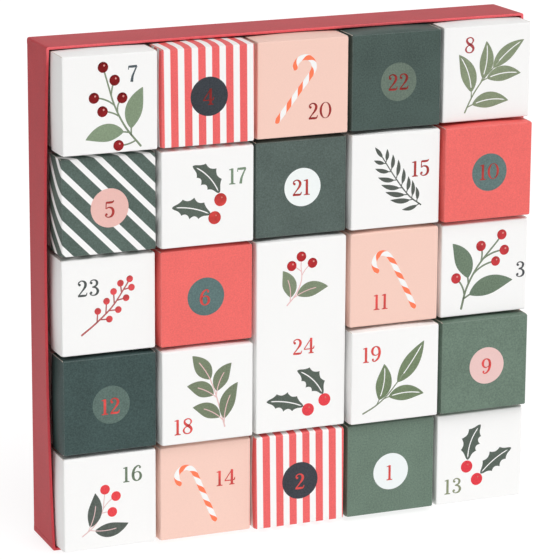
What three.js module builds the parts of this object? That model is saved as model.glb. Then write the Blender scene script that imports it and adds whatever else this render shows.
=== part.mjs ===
// Advent calendar: a shallow wrapped tray that stands upright and holds a grid of small gift boxes.
// Each box is a folded carton lid that telescopes over an open carton base, and pulls out of the tray.
// Millimetres. X runs to the right along the front, Y from the front to the back, Z up.
// The origin is the middle of the tray's underside, the face that it stands on.

import * as THREE from 'three';

// The grid, top row first. A day that is named twice in a column is a double box.
const dayGrid = [
  [7, 4, 20, 22, 8],
  [5, 17, 21, 15, 10],
  [23, 6, 24, 11, 3],
  [12, 18, 24, 19, 9],
  [16, 14, 2, 1, 13],
];
// How far each box has been left pulled out of its pushed-home place, in the same order as the grid.
const pulledOutGrid = [
  [7, 7, 5, 5, 3],
  [3, 6, 3, 6, 9],
  [1, 4, 5, 6, 6],
  [2, 6, 5, 10, 10],
  [1, 2, 5, 5, 5],
];

// Folded carton boxes.
const lidFace = 69; // front panel of a lid, from fold to fold
const lidDepth = 24; // from the front panel to the lid's open edge
const lidBoard = 0.5; // thickness of the lid's carton
const lidFold = 0.6; // radius of the creases round the front panel
const lidBow = 1.2; // how far a side panel bellies out beyond its front fold
const lidBowCrest = 0.4; // where along the lid's depth the belly is fullest
const lidBowLeft = 0.6; // share of the belly that is left at the open edge
const cornerCut = 0.8; // how much a folded corner is rounded off
const boxDepth = 58; // from the lid's front to the back of the base, with the lid pushed on
const baseBoard = 0.5; // thickness of the base's carton
const baseFold = 0.5; // radius of the creases round the base's back panel
const glueTab = 12; // width of the tabs that close a carton's corners from inside
const glueTabTaper = 2; // how much narrower a tab is at its two ends
const glueTabEdge = 0.3; // slant of a tab's cut edge
const lidFit = 0.3; // clearance all round between the lid and its base
const lidSeat = 0.3; // clearance between the base's rim and the inside of the lid's front

// Spaces between the boxes, and between them and the tray.
const boxGap = 0.6; // between the bellies of neighbouring lids
const wallGap = 0.3; // between the tray's walls at its corners and the lids there
const homeGap = 0.3; // between a base pushed home and the tray's lining

// Wrapped tray. The lids' bellies press its walls out, more at the rim than at the back, where the
// back board holds them. The bottom wall stays flat, and the others stand out and bow.
const trayDepth = 45; // from the front rim to the back
const trayBoard = 2; // greyboard with its wrapping paper
const trayCorner = 1.6; // radius of the outer corners
const rimRound = 0.5; // rounding of the rim's two edges
const rimSplay = 1; // how far the walls stand further out at the rim than at the back, all along
const topWallSpring = 0.4; // how much further than one lid's belly the top wall's rim bows out
const sideWallSpring = 2.4; // the same for the left and right walls
const liningSheet = 0.3; // paper that lines the inside of the back
const liningMargin = 1; // how far the lining stops short of the walls
const wallStations = 9; // sections along a wall's straight run

// Sizes that follow from these.
const rowCount = dayGrid.length;
const columnCount = dayGrid[0].length;
const pitch = lidFace + 2 * lidBow + boxGap;
const trayInnerWidth = (columnCount - 1) * pitch + lidFace + 2 * wallGap;
const trayInnerHeight = (rowCount - 1) * pitch + lidFace + lidBow + 2 * wallGap;
const trayMiddle = trayBoard + trayInnerHeight / 2;
const trayFront = -trayDepth / 2;
const trayBack = trayDepth / 2;
const boardFront = trayBack - trayBoard;
const liningFront = boardFront - liningSheet;
const boxFrontHome = liningFront - homeGap - boxDepth;

const paper = {
  white: { color: '#f7f7f7', roughness: 0.62 },
  peach: { color: '#f5cdbf', roughness: 0.62 },
  red: { color: '#ee6a6a', roughness: 0.62 },
  darkGreen: { color: '#4f6560', roughness: 0.62 },
  midGreen: { color: '#5f7b6b', roughness: 0.62 },
  redWrap: { color: '#c2484f', roughness: 0.7 },
  greyWhite: { color: '#e9e6e1', roughness: 0.75 },
};
const lidPaper = {
  4: paper.red, 2: paper.red, 6: paper.red, 10: paper.red,
  20: paper.peach, 11: paper.peach, 14: paper.peach,
  22: paper.darkGreen, 5: paper.darkGreen, 21: paper.darkGreen, 12: paper.darkGreen,
  9: paper.midGreen, 1: paper.midGreen,
};

// A closed skin through a row of rings of equal length, with a cap over the first and the last.
// Each ring runs anticlockwise as seen looking along the direction in which the rings follow on.
function loft(rings) {
  const count = rings[0].length;
  const positions = [];
  const indices = [];
  const middle = (ring) => ring.reduce((sum, p) => sum.add(p), new THREE.Vector3()).divideScalar(count);
  rings.flat().forEach((p) => positions.push(p.x, p.y, p.z));
  for (let k = 0; k + 1 < rings.length; k += 1) {
    for (let i = 0; i < count; i += 1) {
      const a = k * count + i;
      const b = k * count + ((i + 1) % count);
      indices.push(a, b + count, b, a, a + count, b + count);
    }
  }
  [rings[0], rings[rings.length - 1]].forEach((ring, end) => {
    const centre = positions.length / 3;
    const first = end === 0 ? 0 : (rings.length - 1) * count;
    const m = middle(ring);
    positions.push(m.x, m.y, m.z);
    for (let i = 0; i < count; i += 1) {
      const a = first + i;
      const b = first + ((i + 1) % count);
      if (end === 0) indices.push(centre, a, b);
      else indices.push(centre, b, a);
    }
  });
  const geometry = new THREE.BufferGeometry();
  geometry.setAttribute('position', new THREE.Float32BufferAttribute(positions, 3));
  geometry.setIndex(indices);
  geometry.computeVertexNormals();
  return geometry;
}

// The points along one panel of a carton from end to end. at is a point's distance from the panel's
// middle, and stand is how far the glue tab behind the panel stands in there.
function panelPoints(reach, tab, tabStand, bellied) {
  const half = [{ at: reach, stand: tabStand }];
  if (tab > 0) {
    half.push({ at: reach - tab + glueTabEdge, stand: tabStand });
    half.push({ at: reach - tab, stand: 0 });
  } else if (bellied) {
    half.push({ at: reach / 2, stand: 0 });
  }
  const mirrored = half.map(({ at, stand }) => ({ at: -at, stand }));
  const middle = bellied ? [{ at: 0, stand: 0 }] : [];
  return [...mirrored, ...middle, ...half.reverse()];
}

// A carton's outline at depth y, as bottom, right, top and left panels with corners cut at 45 degrees.
// The panels belly out by bow, and the right and left ones have a glue tab inside each end.
function cartonRing(width, height, y, { bellied = false, bow = 0, tab = glueTab, tabStand = 0 } = {}) {
  const ring = [];
  for (let side = 0; side < 4; side += 1) {
    const upright = side % 2 === 1;
    const across = (upright ? width : height) / 2;
    const reach = (upright ? height : width) / 2 - cornerCut;
    const points = upright
      ? panelPoints(reach, tab, tabStand, bellied)
      : panelPoints(reach, 0, 0, bellied);
    points.forEach(({ at, stand }) => {
      const out = across - stand + bow * (1 - (at / reach) ** 2);
      const p = new THREE.Vector2(at, -out).rotateAround(new THREE.Vector2(), (side * Math.PI) / 2);
      ring.push(new THREE.Vector3(p.x, y, p.y));
    });
  }
  return ring;
}

// How far a lid's side panels belly out at a depth behind its front: a parabola up to the crest, and
// a flatter one from there to the open edge.
function bellyAt(depth) {
  const crest = lidBowCrest * lidDepth;
  if (depth < crest) return lidBow * (1 - ((crest - depth) / (crest - lidFold)) ** 2);
  return lidBow * (1 - (1 - lidBowLeft) * ((depth - crest) / (lidDepth - crest)) ** 2);
}

// The lid: a front panel and four bellied side panels folded back from it, open towards the back.
// Its front panel lies in the plane y = 0.
function lidGeometry(height) {
  const crest = lidBowCrest * lidDepth;
  const outside = (y) => cartonRing(lidFace, height, y, { bellied: true, bow: bellyAt(y) });
  const inside = (y, bow, tab) => cartonRing(lidFace - 2 * lidBoard, height - 2 * lidBoard, y, {
    bellied: true, bow, tab, tabStand: lidBoard,
  });
  return loft([
    cartonRing(lidFace - 2 * lidFold, height - 2 * lidFold, 0, { bellied: true }),
    outside(lidFold),
    outside((lidFold + crest) / 2),
    outside(crest),
    outside((crest + lidDepth) / 2),
    outside(lidDepth),
    inside(lidDepth, bellyAt(lidDepth), glueTab - glueTabTaper),
    inside(crest, bellyAt(crest), glueTab),
    inside(lidBoard, 0, glueTab - glueTabTaper),
  ]);
}

// The base: four walls and a back panel, open towards the front, where the lid slips over it. Its width
// clears the lid's glue tabs. Its place along Y is that of a box whose lid's front is at y = 0.
function baseGeometry(height) {
  const width = lidFace - 2 * (2 * lidBoard + lidFit);
  const tall = height - 2 * (lidBoard + lidFit);
  const rim = lidBoard + lidSeat;
  const outside = (y, inset) => cartonRing(width - 2 * inset, tall - 2 * inset, y);
  const inside = (y, tab) => cartonRing(width - 2 * baseBoard, tall - 2 * baseBoard, y, {
    tab, tabStand: baseBoard,
  });
  return loft([
    inside(boxDepth - baseBoard, glueTab - glueTabTaper),
    inside(rim, glueTab),
    outside(rim, 0),
    outside(boxDepth - baseFold, 0),
    outside(boxDepth, baseFold),
  ]);
}

// One wall of the tray, as a loft of its rounded rim section along its length, mitred at both ends.
// All four splay alike: sideways from the middle, and upwards from the ground.
// It is made as the top wall and turned about Y: quarter 0 top, 1 left, 2 bottom, 3 right.
function wallGeometry(innerLength, innerAcross, bow, quarter) {
  const innerHalf = innerLength / 2;
  const outerHalf = innerHalf + trayBoard;
  const straightHalf = outerHalf - trayCorner;
  const insideHalf = innerHalf - trayCorner;
  const cornerStations = [Math.PI / 4, Math.PI / 8].map((angle) => ({
    outer: straightHalf + trayCorner * Math.sin(angle),
    offset: trayBoard - trayCorner * (1 - Math.cos(angle)),
  }));
  const [mitre, halfway] = cornerStations;
  const stations = [];
  const addStation = (inside, outside, offset) => stations.push({ inside, outside, offset });
  addStation(-innerHalf, -mitre.outer, mitre.offset);
  addStation(-(innerHalf + insideHalf) / 2, -halfway.outer, halfway.offset);
  for (let i = 0; i < wallStations; i += 1) {
    const share = (2 * i) / (wallStations - 1) - 1;
    addStation(share * insideHalf, share * straightHalf, trayBoard);
  }
  addStation((innerHalf + insideHalf) / 2, halfway.outer, halfway.offset);
  addStation(innerHalf, mitre.outer, mitre.offset);

  const round = rimRound / trayBoard;
  const profile = [
    [0, trayFront + rimRound],
    [round, trayFront],
    [1 - round, trayFront],
    [1, trayFront + rimRound],
    [1, trayBack],
    [0, trayBack],
  ];
  const rings = stations.map(({ inside, outside, offset }) => profile.map(([share, y]) => {
    const u = inside / innerHalf;
    const forward = Math.max(0, (boardFront - y) / (boardFront - trayFront));
    const belly = bow * (1 - u ** 4) * forward;
    const p = new THREE.Vector2(
      inside + (outside - inside) * share,
      innerAcross / 2 + offset * share + belly,
    );
    p.rotateAround(new THREE.Vector2(), (quarter * Math.PI) / 2);
    const sideways = p.x / (trayInnerWidth / 2);
    const upwards = Math.max(0, (p.y + trayInnerHeight / 2) / trayInnerHeight);
    const splay = rimSplay * forward;
    return new THREE.Vector3(p.x + splay * sideways, y, trayMiddle + p.y + splay * upwards);
  }));
  return loft(rings);
}

const calendar = new THREE.Group();

function addPiece(name, geometry, finish, place = [0, 0, 0]) {
  const material = new THREE.MeshStandardMaterial({ ...finish, metalness: 0 });
  const mesh = new THREE.Mesh(geometry, material);
  mesh.name = name;
  mesh.position.set(...place);
  calendar.add(mesh);
}

// The tray's five boards and the sheet that lines the back. The bottom wall stays flat on what it
// stands on, and the other three bow out.
function addTray() {
  const walls = [
    ['tray_wall_top', trayInnerWidth, trayInnerHeight, lidBow + topWallSpring],
    ['tray_wall_left', trayInnerHeight, trayInnerWidth, lidBow + sideWallSpring],
    ['tray_wall_bottom', trayInnerWidth, trayInnerHeight, 0],
    ['tray_wall_right', trayInnerHeight, trayInnerWidth, lidBow + sideWallSpring],
  ];
  walls.forEach(([name, length, across, bow], quarter) => {
    addPiece(name, wallGeometry(length, across, bow, quarter), paper.redWrap);
  });
  addPiece(
    'tray_back_board',
    new THREE.BoxGeometry(trayInnerWidth, trayBoard, trayInnerHeight),
    paper.redWrap,
    [0, boardFront + trayBoard / 2, trayMiddle],
  );
  addPiece(
    'tray_lining_sheet',
    new THREE.BoxGeometry(
      trayInnerWidth - 2 * liningMargin, liningSheet, trayInnerHeight - 2 * liningMargin),
    paper.redWrap,
    [0, liningFront + liningSheet / 2, trayMiddle],
  );
}

// The two cartons of one day's box, in their place in the grid and pulled out as they were left.
// The lowest row's bellies stand just over the bottom wall.
function addBox(day, column, topRow, rowsHigh, pulledOut) {
  const label = String(day).padStart(2, '0');
  const height = lidFace + (rowsHigh - 1) * pitch;
  const rowsBelow = rowCount - topRow - rowsHigh;
  const x = (column - (columnCount - 1) / 2) * pitch;
  const z = trayBoard + wallGap + lidBow + rowsBelow * pitch + height / 2;
  const place = [x, boxFrontHome - pulledOut, z];
  addPiece(`lid_${label}`, lidGeometry(height), lidPaper[day] ?? paper.white, place);
  addPiece(`base_${label}`, baseGeometry(height), paper.greyWhite, place);
}

addTray();
dayGrid.forEach((days, row) => days.forEach((day, column) => {
  const goesOnFromAbove = row > 0 && dayGrid[row - 1][column] === day;
  if (goesOnFromAbove) return;
  const rowsHigh = dayGrid.slice(row).filter((other) => other[column] === day).length;
  addBox(day, column, row, rowsHigh, pulledOutGrid[row][column]);
}));

export default calendar;
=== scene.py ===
"""Advent calendar: a tray wrapped in red paper stands on its edge and holds 24 small folded cartons.

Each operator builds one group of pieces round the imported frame. The cartons' and the tray's shapes
are in metres, as the frame is, and the prints are laid out in millimetres from the middle of a front.
"""

import math

import bmesh
import bpy
import numpy as np
from bpy.props import FloatProperty, FloatVectorProperty, PointerProperty
from mathutils import Matrix, Vector


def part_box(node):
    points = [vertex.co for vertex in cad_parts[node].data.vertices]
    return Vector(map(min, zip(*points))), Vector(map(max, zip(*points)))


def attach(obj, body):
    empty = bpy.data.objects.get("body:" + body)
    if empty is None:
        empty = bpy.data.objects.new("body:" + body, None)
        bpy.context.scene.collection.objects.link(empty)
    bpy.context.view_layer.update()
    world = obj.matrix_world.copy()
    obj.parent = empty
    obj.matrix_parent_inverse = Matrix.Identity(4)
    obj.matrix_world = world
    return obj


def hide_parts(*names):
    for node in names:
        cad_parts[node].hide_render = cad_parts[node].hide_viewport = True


bl_info = {
    "name": "Advent Calendar of Cartons",
    "version": (1, 0, 0),
    "blender": (4, 5, 0),
    "location": "3D View > Sidebar > Advent Calendar",
    "description": "Builds the wrapped tray, the folded cartons and what is printed on them",
    "category": "Add Mesh",
}

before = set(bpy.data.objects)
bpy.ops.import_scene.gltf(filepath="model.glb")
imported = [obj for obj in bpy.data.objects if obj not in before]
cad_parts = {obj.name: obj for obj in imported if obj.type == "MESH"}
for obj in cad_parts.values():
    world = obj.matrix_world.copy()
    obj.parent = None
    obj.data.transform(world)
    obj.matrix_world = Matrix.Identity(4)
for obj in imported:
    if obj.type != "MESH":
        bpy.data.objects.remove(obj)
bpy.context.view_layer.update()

MM = 0.001
DAYS = range(1, 25)

# Which carton each day's lid is cut from. The other days' lids are white.
LID_PAPERS = {
    4: "red_stripes", 2: "low_red_stripes", 6: "red", 10: "red",
    11: "peach", 14: "peach", 20: "peach",
    5: "green_diagonals", 12: "blue_green", 21: "grey_green", 22: "dark_green",
    1: "mid_green", 9: "mid_green",
}
LID_INKS = {
    "white": "#f7f7f6", "peach": "#f6cfc1", "red": "#ef6d68",
    "red_stripes": "#ed6767", "low_red_stripes": "#ed6767",
    "dark_green": "#485853", "blue_green": "#3e514f", "grey_green": "#56645f",
    "green_diagonals": "#576760", "mid_green": "#6a7e70",
}
# White stripes, along a level line on a front and in millimetres: from one to the next, how broad one
# is, and how far one of them stands to the right of the front's middle. Last is how far they lean to
# the left on the way up, as a share. Each striped lid is cut from its sheet at a place of its own.
STRIPES = {
    "red_stripes": (10.26, 4.7, 0.65, 0.01), "low_red_stripes": (10.33, 4.7, -0.3, 0.015),
    "green_diagonals": (17.7, 5.8, 8.2, 0.984),
}

# The disc behind a number near the middle of a front: where it stands, in millimetres, and its ink.
DISCS = {
    4: (0.7, -0.3, "#373c42"), 22: (1.6, -1.1, "#67766a"), 5: (0.5, -2.1, "#ebbdb5"),
    21: (1.0, 0.1, "#f1f6f5"), 10: (0.9, 0.0, "#617775"), 6: (-0.6, -0.4, "#5c7473"),
    12: (0.9, -0.5, "#5d716a"), 9: (1.8, -1.2, "#ebc6c2"), 2: (0.0, -1.3, "#3b3e45"),
    1: (0.1, -3.2, "#eff4f4"),
}

# Where the numbers stand, in millimetres, and the ink of each that isn't foil.
NUMBER_PLACES = {
    7: (16.5, 20.0), 4: (0.1, -0.4), 20: (13.0, -17.2), 22: (1.4, -1.2), 8: (-13.9, 21.0),
    5: (0.4, -3.1), 17: (22.2, 13.4), 21: (0.1, 0.0), 15: (19.4, 6.9), 10: (0.8, 0.5),
    23: (-15.0, 13.6), 6: (-1.4, -0.9), 24: (2.0, -8.4), 11: (-10.4, -17.2), 3: (29.3, -3.8),
    12: (0.4, -1.5), 18: (-18.3, -21.6), 19: (-18.5, 17.2), 9: (1.7, -1.7), 16: (16.8, 18.4),
    14: (15.4, 7.1), 2: (-0.1, -1.9), 1: (-0.8, -4.0), 13: (-21.3, -21.0),
}
NUMBER_INKS = {
    7: "#4b565b", 23: "#4a504e", 3: "#484b4e", 17: "#778c75", 16: "#6b7c67", 13: "#889072",
    8: "#ad484b",
}

# Digits as drawn with a broad nib held upright, in shares of their height. A stroke is a row of
# (x, y, width), a ball is (x, y, radius), and a bowl is (x, y, outer and inner half sizes). Each is
# drawn as wide as "drawn" and then stretched to "wide". A nine is a six turned upside down.
TURNED_DIGITS = {"9": "6"}
DIGITS = {
    "0": {"drawn": 0.72, "wide": 0.78, "bowls": [(0.36, 0.5, 0.36, 0.5, 0.22, 0.47)]},
    "1": {
        "drawn": 0.44, "wide": 0.44,
        "strokes": [
            [(0.22, 0.0, 0.13), (0.22, 0.97, 0.13)],
            [(0.02, 0.018, 0.03), (0.42, 0.018, 0.03)],
            [(0.1, 0.045, 0.02), (0.18, 0.06, 0.04), (0.22, 0.12, 0.1)],
            [(0.34, 0.045, 0.02), (0.26, 0.06, 0.04), (0.22, 0.12, 0.1)],
            [(0.02, 0.905, 0.02), (0.12, 0.91, 0.04), (0.22, 0.93, 0.08)],
        ],
    },
    "2": {
        "drawn": 0.56, "wide": 0.62,
        "strokes": [
            [(0.045, 0.75, 0.04), (0.08, 0.89, 0.05), (0.24, 0.975, 0.04), (0.4, 0.9, 0.1),
             (0.46, 0.74, 0.14), (0.41, 0.56, 0.12), (0.26, 0.34, 0.06), (0.04, 0.06, 0.04)],
            [(0.02, 0.05, 0.08), (0.2, 0.055, 0.11), (0.4, 0.05, 0.1), (0.49, 0.08, 0.06),
             (0.54, 0.22, 0.02)],
        ],
        "balls": [(0.115, 0.74, 0.078)],
    },
    "3": {
        "drawn": 0.54, "wide": 0.62,
        "strokes": [
            [(0.06, 0.78, 0.04), (0.11, 0.92, 0.04), (0.26, 0.975, 0.04), (0.4, 0.9, 0.09),
             (0.44, 0.76, 0.13), (0.37, 0.6, 0.08), (0.17, 0.53, 0.03)],
            [(0.17, 0.53, 0.03), (0.38, 0.47, 0.08), (0.48, 0.28, 0.14), (0.41, 0.09, 0.1),
             (0.24, 0.018, 0.036), (0.09, 0.08, 0.04), (0.04, 0.2, 0.04)],
        ],
        "balls": [(0.125, 0.79, 0.075), (0.11, 0.19, 0.078)],
    },
    "4": {
        "drawn": 0.76, "wide": 0.7,
        "strokes": [
            [(0.53, 0.0, 0.13), (0.53, 0.98, 0.13)],
            [(0.55, 0.98, 0.03), (0.03, 0.3, 0.04)],
            [(0.01, 0.285, 0.04), (0.6, 0.285, 0.04), (0.71, 0.33, 0.06), (0.75, 0.46, 0.01)],
            [(0.34, 0.018, 0.03), (0.72, 0.018, 0.03)],
            [(0.41, 0.04, 0.02), (0.49, 0.06, 0.04), (0.53, 0.12, 0.1)],
            [(0.65, 0.04, 0.02), (0.57, 0.06, 0.04), (0.53, 0.12, 0.1)],
        ],
    },
    "5": {
        "drawn": 0.54, "wide": 0.63,
        "strokes": [
            [(0.1, 0.92, 0.09), (0.28, 0.915, 0.11), (0.43, 0.935, 0.09), (0.51, 1.02, 0.02)],
            [(0.095, 0.95, 0.04), (0.075, 0.54, 0.035)],
            [(0.08, 0.54, 0.035), (0.22, 0.62, 0.05), (0.4, 0.55, 0.11), (0.47, 0.34, 0.14),
             (0.4, 0.11, 0.11), (0.23, 0.018, 0.036), (0.08, 0.08, 0.035), (0.03, 0.19, 0.035)],
        ],
        "balls": [(0.1, 0.2, 0.075)],
    },
    "6": {
        "drawn": 0.58, "wide": 0.7,
        "strokes": [
            [(0.5, 0.86, 0.035), (0.43, 0.955, 0.04), (0.3, 0.94, 0.07), (0.15, 0.75, 0.12),
             (0.09, 0.42, 0.15), (0.14, 0.14, 0.12), (0.3, 0.02, 0.04), (0.45, 0.12, 0.11),
             (0.505, 0.31, 0.14), (0.45, 0.51, 0.09), (0.31, 0.585, 0.035), (0.17, 0.52, 0.03),
             (0.1, 0.38, 0.03)],
        ],
        "balls": [(0.46, 0.85, 0.068)],
    },
    "7": {
        "drawn": 0.54, "wide": 0.56,
        "strokes": [
            [(0.03, 0.92, 0.09), (0.28, 0.915, 0.12), (0.53, 0.93, 0.1)],
            [(0.03, 0.96, 0.03), (0.02, 0.74, 0.025)],
            [(0.52, 0.92, 0.06), (0.38, 0.62, 0.07), (0.26, 0.32, 0.11), (0.21, 0.0, 0.15)],
        ],
    },
    "8": {
        "drawn": 0.58, "wide": 0.68,
        "strokes": [
            [(0.29, 0.98, 0.04), (0.14, 0.9, 0.07), (0.11, 0.76, 0.11), (0.2, 0.6, 0.14),
             (0.39, 0.46, 0.16), (0.49, 0.27, 0.13), (0.42, 0.08, 0.07), (0.28, 0.02, 0.04),
             (0.12, 0.08, 0.06), (0.055, 0.24, 0.09), (0.13, 0.41, 0.05), (0.31, 0.53, 0.035),
             (0.43, 0.64, 0.05), (0.48, 0.78, 0.08), (0.42, 0.92, 0.05), (0.29, 0.98, 0.04)],
        ],
    },
}

# Candy canes, in millimetres: how far apart their red bands are, how broad one is, how far from the
# foot the first one's middle is, and the middle line from the foot of the stick to the hook's end.
CANE_TURN, CANE_RED, CANE_FIRST = 13.2, 5.9, 2.4
CANES = {
    20: [(-19.5, -22.2), (-10.8, -11.5), (-2.5, -1.1), (5.6, 8.9), (8.2, 13.8), (7.1, 18.6),
         (2.9, 21.6), (-2.0, 21.0), (-5.2, 18.1), (-6.2, 14.8)],
    11: [(15.8, -23.3), (10.3, -11.3), (4.2, 0.9), (-2.0, 12.8), (-5.4, 17.2), (-9.8, 18.9),
         (-13.8, 16.8), (-16.0, 12.6), (-15.4, 8.7), (-13.8, 5.9)],
    14: [(6.9, -23.4), (2.1, -11.7), (-3.2, 0.8), (-8.0, 12.5), (-11.0, 16.7), (-15.1, 18.3),
         (-19.5, 16.8), (-22.0, 13.2), (-21.7, 9.6), (-20.2, 6.6)],
}

# Holly: each leaf is (foot, tip, width, sideways bend) and each berry a centre, in millimetres. A leaf
# has three spines along each side.
HOLLY_SPINES = 3
HOLLY = {
    17: {
        "leaves": [((8.5, 2.0), (-11.3, 23.0), 15.0, -2.8), ((2.0, -12.6), (-26.8, -5.7), 14.5, -2.0)],
        "berries": [(9.5, -2.7), (5.1, -15.3)],
    },
    13: {
        "leaves": [((-9.4, -2.1), (0.6, 24.1), 15.0, 2.9), ((1.3, -14.1), (26.3, 3.1), 14.0, 1.8)],
        "berries": [(-10.2, -7.2), (-1.8, -17.9)],
    },
    24: {
        "leaves": [
            ((17.3, -45.9), (-2.8, -26.2), 14.5, -2.8), ((2.1, -53.6), (-26.5, -47.2), 13.5, -1.8)],
        "berries": [(18.6, -50.2), (5.8, -56.3)],
    },
}

# Sprigs. The stem is a row of points in millimetres. A twig is (share of the stem, turn from it in
# degrees to the left, length, what it ends in, the width of that, sideways bend).
SPRIGS = {
    7: {
        "stem": [(22.0, -31.0), (11.0, -17.0), (3.0, -1.0), (-3.0, 19.0)], "thick": 1.3,
        "leaf_ink": "#84967b", "stem_ink": "#7f8e75", "berry": "foil",
        "twigs": [
            (0.2, -54, 34, "leaf", 12.5, 2.5), (0.24, 58, 32, "leaf", 12.5, -2.5),
            (1.0, 0, 7, "berry", 7.6, 0), (0.66, 46, 16, "berry", 7.6, -1.5),
            (0.55, -42, 11, "berry", 7.6, 1.5), (0.78, -30, 11, "berry", 7.6, 0.5),
            (0.5, 44, 13, "berry", 7.6, -1.0), (0.1, 62, 13, "berry", 7.6, 1.0),
        ],
    },
    3: {
        "stem": [(-18.0, -29.0), (-14.0, -14.0), (-5.0, 2.0), (10.0, 19.0)], "thick": 1.5,
        "leaf_ink": "#6b7e6a", "stem_ink": "#77856e", "berry": "bright",
        "twigs": [
            (0.16, -62, 41, "leaf", 14.0, 3.0), (0.4, 48, 34, "leaf", 13.5, -3.0),
            (1.0, 4, 6, "berry", 7.6, 0), (0.76, -32, 18, "berry", 7.6, 1.5),
            (0.54, -34, 20, "berry", 7.2, 2.0), (0.72, 40, 12, "berry", 7.8, -1.0),
            (0.22, 42, 15, "berry", 7.8, -1.5),
        ],
    },
    8: {
        "stem": [(-17.0, -28.0), (-11.0, -16.0), (-3.0, -5.0), (5.0, 3.0)], "thick": 1.0,
        "leaf_ink": "#849074", "stem_ink": "#849074", "vein": "gap",
        "twigs": [
            (0.28, 46, 34, "leaf", 12.0, -3.0), (0.1, -60, 33, "leaf", 11.5, 3.0),
            (0.58, 30, 31, "leaf", 11.0, -2.5), (0.64, -44, 31, "leaf", 11.0, 2.5),
            (1.0, -6, 31, "leaf", 10.5, 2.0),
        ],
    },
    18: {
        "stem": [(13.0, -25.0), (9.5, -12.0), (6.0, 0.0), (2.0, 11.0)], "thick": 0.9,
        "leaf_ink": "#768269", "stem_ink": "#e6c0bf", "vein": "line",
        "twigs": [
            (0.04, -34, 32, "leaf", 11.5, 3.0), (0.12, 48, 26, "leaf", 11.0, -2.5),
            (0.58, 48, 25, "leaf", 11.5, -2.0), (0.62, -44, 26, "leaf", 11.5, 2.5),
            (1.0, 16, 23, "leaf", 12.0, -1.0),
        ],
    },
    19: {
        "stem": [(-25.0, -27.0), (-15.0, -22.0), (-6.0, -15.0), (2.0, -6.0)], "thick": 1.0,
        "leaf_ink": "#738465", "stem_ink": "#7f8b73", "vein": "gap",
        "twigs": [
            (0.36, 46, 31, "leaf", 12.5, -2.5), (0.56, -38, 32, "leaf", 11.5, 2.5),
            (1.0, 6, 36, "leaf", 12.5, -1.0),
        ],
    },
    16: {
        "stem": [(-21.0, -24.0), (-12.0, -17.0), (-6.0, -7.0), (-4.5, 3.0)], "thick": 0.8,
        "leaf_ink": "#565e58", "stem_ink": "#e3c3c2", "vein": "line", "berry": "flat",
        "twigs": [
            (0.14, 44, 29, "leaf", 10.5, -2.5), (0.2, -32, 29, "leaf", 10.5, -2.5),
            (1.0, 2, 6, "berry", 7.2, 0), (0.72, -36, 13, "berry", 7.2, 1.0),
            (0.62, -66, 8, "berry", 7.2, 0.5),
        ],
    },
    24: {
        "stem": [(-11.0, 23.0), (-4.0, 31.0), (0.0, 41.0), (-0.5, 51.0)], "thick": 0.8,
        "leaf_ink": "#7f8c72", "stem_ink": "#e9c0c1", "vein": "line", "berry": "foil",
        "twigs": [
            (0.1, 58, 24, "leaf", 10.8, -2.5), (0.2, -34, 28, "leaf", 11.0, 2.5),
            (1.0, -6, 7, "berry", 7.4, 0), (0.76, -44, 12, "berry", 7.4, 1.0),
            (0.86, 50, 9, "berry", 7.4, -0.5),
        ],
    },
    23: {
        "stem": [(-20.0, -20.0), (-9.0, -12.0), (3.0, -1.0), (13.0, 13.0)], "thick": 1.2,
        "leaf_ink": "#b05a5a", "stem_ink": "#b05a5a", "berry": "twig",
        "twigs": [
            (0.34, 46, 8, "berry", 4.9, 0), (0.4, -42, 7, "berry", 4.9, 0),
            (0.52, 44, 9, "berry", 4.9, 0), (0.58, -44, 7, "berry", 4.9, 0),
            (0.7, 42, 9, "berry", 4.9, 0), (0.76, -44, 7, "berry", 4.9, 0),
            (0.88, 40, 7, "berry", 4.9, 0), (0.93, -46, 6, "berry", 4.9, 0),
            (1.0, 4, 5, "berry", 4.9, 0),
        ],
    },
    15: {
        "stem": [(20.0, -20.0), (10.5, -12.5), (0.0, 1.0), (-10.5, 17.0)], "thick": 0.9,
        "leaf_ink": "#565c56", "stem_ink": "#565c56",
        "twigs": [
            (0.04, 50, 14, "leaf", 3.2, 1.0), (0.12, -52, 11, "leaf", 2.9, -1.0),
            (0.22, 35, 18, "leaf", 3.8, 1.0), (0.26, -50, 13, "leaf", 3.0, -1.0),
            (0.36, 38, 18, "leaf", 3.8, 1.0), (0.4, -47, 12, "leaf", 3.1, -1.0),
            (0.5, 41, 17, "leaf", 3.7, 1.0), (0.53, -44, 13, "leaf", 3.1, -1.0),
            (0.64, 43, 15, "leaf", 3.5, 1.0), (0.66, -42, 14, "leaf", 3.1, -1.0),
            (0.78, 43, 13, "leaf", 3.2, 0.8), (0.79, -40, 12, "leaf", 3.0, -0.8),
            (0.91, 41, 10, "leaf", 2.9, 0.6), (0.92, -38, 10, "leaf", 2.8, -0.6),
            (1.0, 4, 10, "leaf", 2.9, 0),
        ],
    },
}

# How much broader than drawn a digit's strokes are stamped, and the space between two digits, in
# shares of their height.
STAMPED, DIGIT_SPACE = 0.028, 0.11

# Heights in millimetres over a lid's front of what is printed or stamped on it. The foot of every
# print lies in the carton, so that no gap shows at its edge. The fronts themselves are set back
# from the frame's by a little more than a number's height, which keeps the calendar in its box.
SET_BACK = 0.12
FOOT = -0.05
LAYER = {"disc": 0.02, "stem": 0.03, "leaf": 0.04, "vein": 0.06, "number": 0.09, "spot": 0.02}
# How high a berry's dome stands, how broad the bevel at a print's edge is, and how much higher each
# stroke and each twig lies than the one before it, so that two that cross don't share a surface.
DOME = 0.22
BEVEL = 0.12
STROKE_STEP, TWIG_STEP = 0.002, 0.0007

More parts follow.
